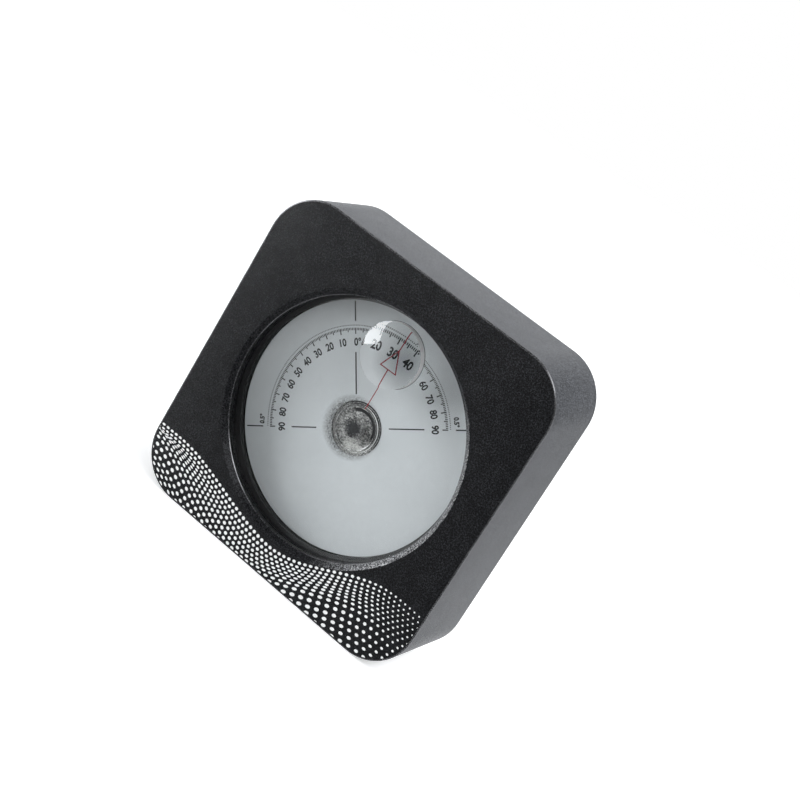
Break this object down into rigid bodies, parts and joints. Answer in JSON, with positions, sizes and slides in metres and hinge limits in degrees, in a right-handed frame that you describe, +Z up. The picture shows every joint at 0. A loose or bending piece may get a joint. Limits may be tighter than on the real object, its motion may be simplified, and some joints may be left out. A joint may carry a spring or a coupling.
{
  "type": "inclinometer",
  "caption": "Square-block inclinometer: a liquid-damped dial that gravity keeps level turns behind a clear cover with a fixed red index and a reading magnifier.",
  "frame": {"origin": "centre of the block's bottom face, on the middle of its thickness", "axes": "+Z up, +X to the right seen from the front, the dial faces -Y; the dial turns about the axis along +Y through (0, 0, 0.040)"},
  "size_m": [0.08, 0.0244, 0.08],
  "materials": {
    "black_anodised": "bead blasted and black anodised, fine matt grain",
    "black_steel": "blackened",
    "clear_cover": "clear, polished",
    "red_inlay": "red filled line",
    "black_rubber": "matt",
    "capsule_plastic": "dark grey, moulded",
    "blackened_brass": "blackened",
    "jewel": "polished",
    "brass": "machined",
    "dial_paint": "matt light grey paint with black print",
    "hub_metal": "sand blasted",
    "hardened_steel": "ground"
  },
  "bodies": {
    "housing": {"body_frame": "black_anodised", "rear_cover": "black_anodised", "rear_cover_screws": "black_steel", "capsule_cushion": "black_rubber", "cover_gasket": "black_rubber", "capsule_cover": "clear_cover", "magnifier_lens": "clear_cover", "index_mark": "red_inlay", "capsule_base": "capsule_plastic", "front_bearing_bush": "blackened_brass", "front_jewel": "jewel", "rear_bearing_screw": "brass", "rear_jewel": "jewel", "expansion_diaphragm": "black_rubber", "diaphragm_ring": "brass", "filler_plug": "brass", "filler_washer": "black_rubber"},
    "dial": {"dial_disc": "dial_paint", "dial_hub": "hub_metal", "dial_arbor": "hardened_steel", "dial_weight": "brass"}
  },
  "joints": [
    {"name": "dial", "type": "hinge", "parent": "housing", "child": "dial", "pos_m": [0, 0, 0.04], "axis": [0, 1, 0], "continuous": true}
  ]
}
